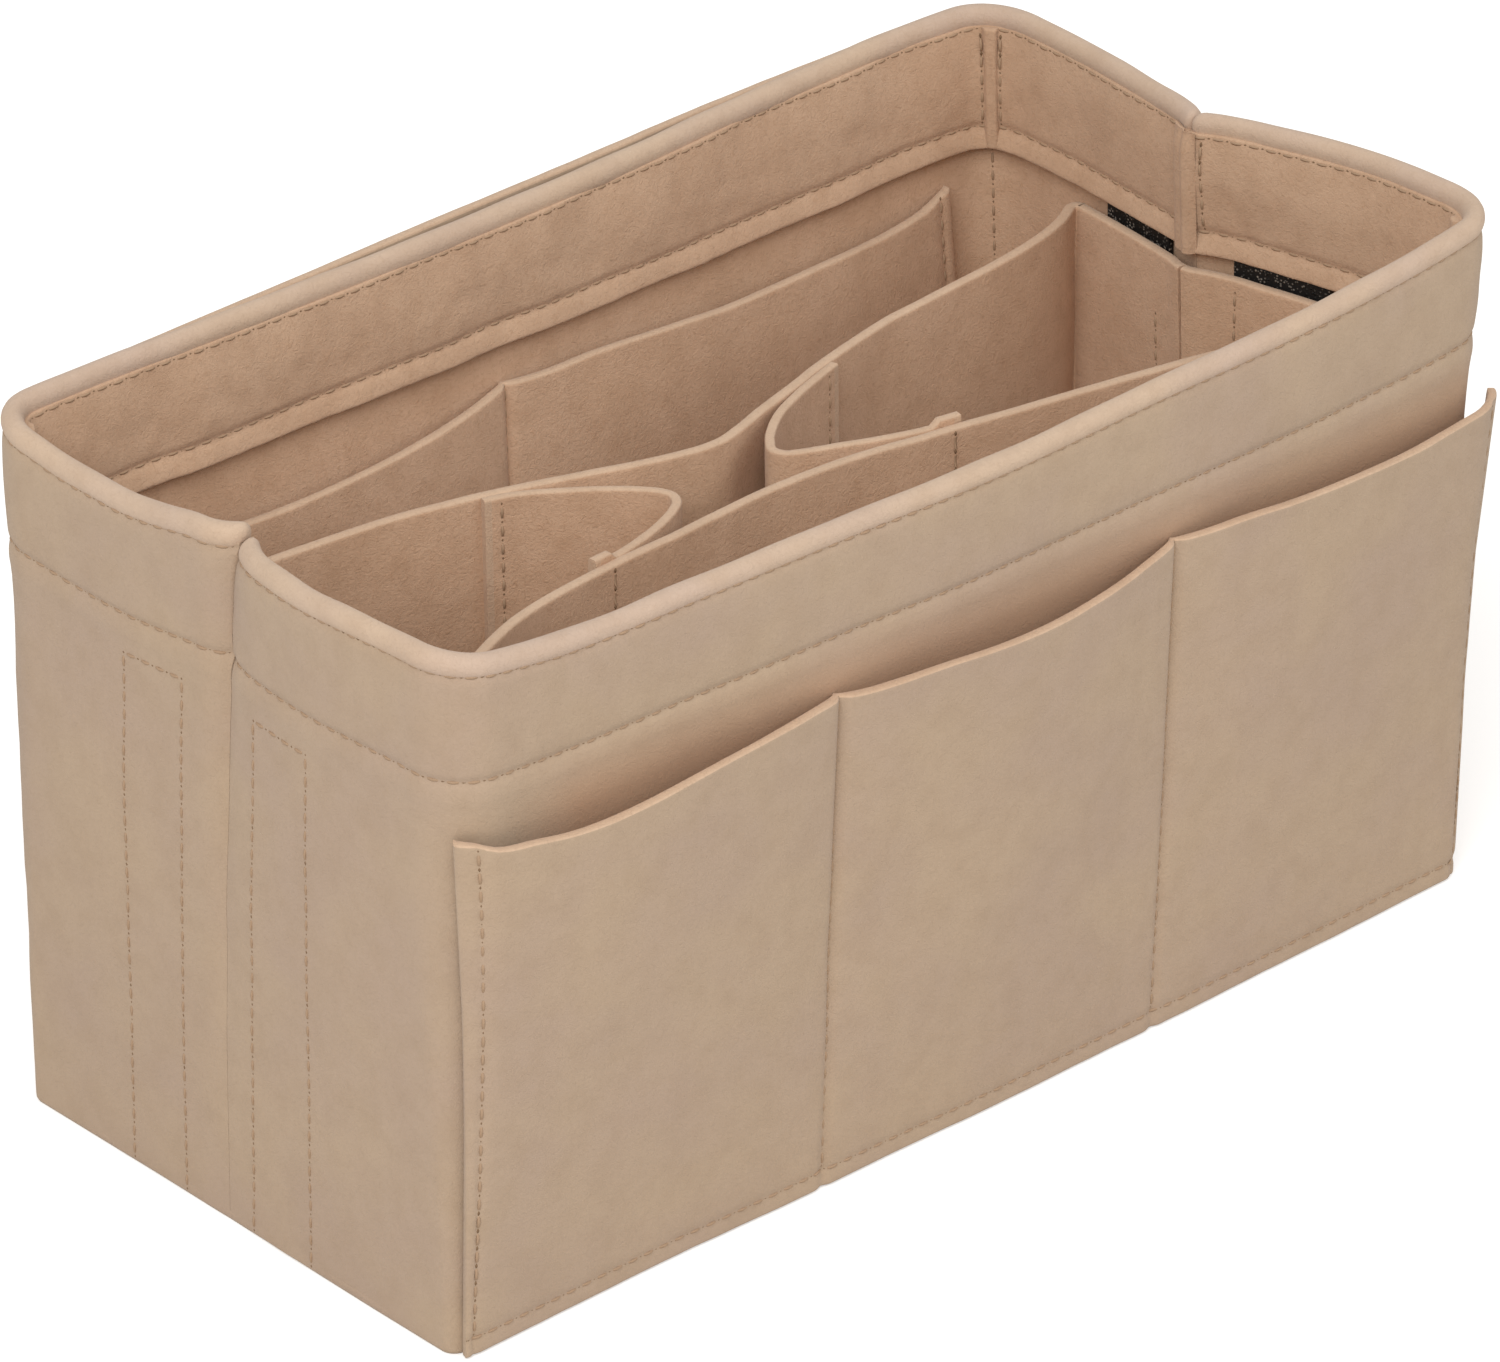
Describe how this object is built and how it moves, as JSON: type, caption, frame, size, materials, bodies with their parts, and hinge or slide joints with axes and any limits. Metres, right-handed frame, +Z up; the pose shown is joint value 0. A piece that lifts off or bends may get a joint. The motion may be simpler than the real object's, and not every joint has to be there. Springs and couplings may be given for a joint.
{
  "type": "purse organizer insert",
  "caption": "Open-topped felt tub that stands inside a handbag, with outer and inner pockets, ends that fold inwards, and a divided pouch that lifts out.",
  "frame": {"origin": "centre of the underside of the base panel", "axes": "+X along the length, +Y from the wall with the outer pockets to the back wall, +Z up, out of the mouth"},
  "size_m": [0.3268, 0.1804, 0.176],
  "materials": {
    "outer_felt": "matt pressed felt, beige",
    "facing_felt": "matt pressed felt, beige",
    "rim_felt": "matt pressed felt, rolled and stitched",
    "lining_felt": "matt pressed felt, warm beige",
    "hook_tape": "black woven hook tape",
    "loop_tape": "beige brushed loop tape"
  },
  "bodies": {
    "tub": {"base_panel": "outer_felt", "front_wall": "outer_felt", "front_facing": "facing_felt", "front_rim": "rim_felt", "left_front_corner_seam": "facing_felt", "right_front_corner_seam": "facing_felt", "back_wall": "outer_felt", "back_facing": "facing_felt", "back_rim": "rim_felt", "left_back_corner_seam": "facing_felt", "right_back_corner_seam": "facing_felt", "front_pocket_panel": "outer_felt", "back_pocket_panel": "outer_felt", "inner_pocket_panel": "lining_felt"},
    "left_front_end": {"left_front_end_wall": "outer_felt", "left_front_end_facing": "facing_felt", "left_front_end_rim": "rim_felt", "left_front_hook_strip": "hook_tape"},
    "left_back_end": {"left_back_end_wall": "outer_felt", "left_back_end_facing": "facing_felt", "left_back_end_rim": "rim_felt", "left_back_hook_strip": "hook_tape", "left_crease_tuck": "facing_felt"},
    "right_front_end": {"right_front_end_wall": "outer_felt", "right_front_end_facing": "facing_felt", "right_front_end_rim": "rim_felt", "right_front_hook_strip": "hook_tape"},
    "right_back_end": {"right_back_end_wall": "outer_felt", "right_back_end_facing": "facing_felt", "right_back_end_rim": "rim_felt", "right_back_hook_strip": "hook_tape", "right_crease_tuck": "facing_felt"},
    "pouch": {"pouch_front_wall": "lining_felt", "pouch_back_wall": "lining_felt", "pouch_left_divider": "lining_felt", "pouch_right_divider": "lining_felt"},
    "pouch_left_front_end": {"pouch_left_front_flap": "lining_felt", "pouch_left_front_loop_strip": "loop_tape"},
    "pouch_left_back_end": {"pouch_left_back_flap": "lining_felt", "pouch_left_back_loop_strip": "loop_tape"},
    "pouch_right_front_end": {"pouch_right_front_flap": "lining_felt", "pouch_right_front_loop_strip": "loop_tape"},
    "pouch_right_back_end": {"pouch_right_back_flap": "lining_felt", "pouch_right_back_loop_strip": "loop_tape"}
  },
  "joints": [
    {"name": "left_end_fold", "type": "hinge", "parent": "tub", "child": "left_front_end", "pos_m": [-0.136, -0.043, 0.088], "axis": [0, 0, -1], "range_deg": [0, 16]},
    {"name": "left_back_fold", "type": "hinge", "parent": "tub", "child": "left_back_end", "pos_m": [-0.136, 0.043, 0.088], "axis": [0, 0, 1], "range_deg": [0, 16]},
    {"name": "right_end_fold", "type": "hinge", "parent": "tub", "child": "right_front_end", "pos_m": [0.136, -0.043, 0.088], "axis": [0, 0, 1], "range_deg": [0, 16]},
    {"name": "right_back_fold", "type": "hinge", "parent": "tub", "child": "right_back_end", "pos_m": [0.136, 0.043, 0.088], "axis": [0, 0, -1], "range_deg": [0, 16]},
    {"name": "pouch_lift", "type": "slide", "parent": "tub", "child": "pouch", "axis": [0, 0, 1], "range_m": [0, 0.19]},
    {"name": "pouch_left_front_fold", "type": "hinge", "parent": "pouch", "child": "pouch_left_front_end", "pos_m": [-0.136, -0.043, 0.07], "axis": [0, 0, -1], "range_deg": [0, 16]},
    {"name": "pouch_left_back_fold", "type": "hinge", "parent": "pouch", "child": "pouch_left_back_end", "pos_m": [-0.136, 0.043, 0.07], "axis": [0, 0, 1], "range_deg": [0, 16]},
    {"name": "pouch_right_front_fold", "type": "hinge", "parent": "pouch", "child": "pouch_right_front_end", "pos_m": [0.136, -0.043, 0.07], "axis": [0, 0, 1], "range_deg": [0, 16]},
    {"name": "pouch_right_back_fold", "type": "hinge", "parent": "pouch", "child": "pouch_right_back_end", "pos_m": [0.136, 0.043, 0.07], "axis": [0, 0, -1], "range_deg": [0, 16]}
  ],
  "couplings": [
    {"joint": "left_back_fold", "follows": "left_end_fold", "ratio": 1},
    {"joint": "right_back_fold", "follows": "right_end_fold", "ratio": 1},
    {"joint": "pouch_left_front_fold", "follows": "left_end_fold", "ratio": 1},
    {"joint": "pouch_left_back_fold", "follows": "left_end_fold", "ratio": 1},
    {"joint": "pouch_right_front_fold", "follows": "right_end_fold", "ratio": 1},
    {"joint": "pouch_right_back_fold", "follows": "right_end_fold", "ratio": 1}
  ]
}
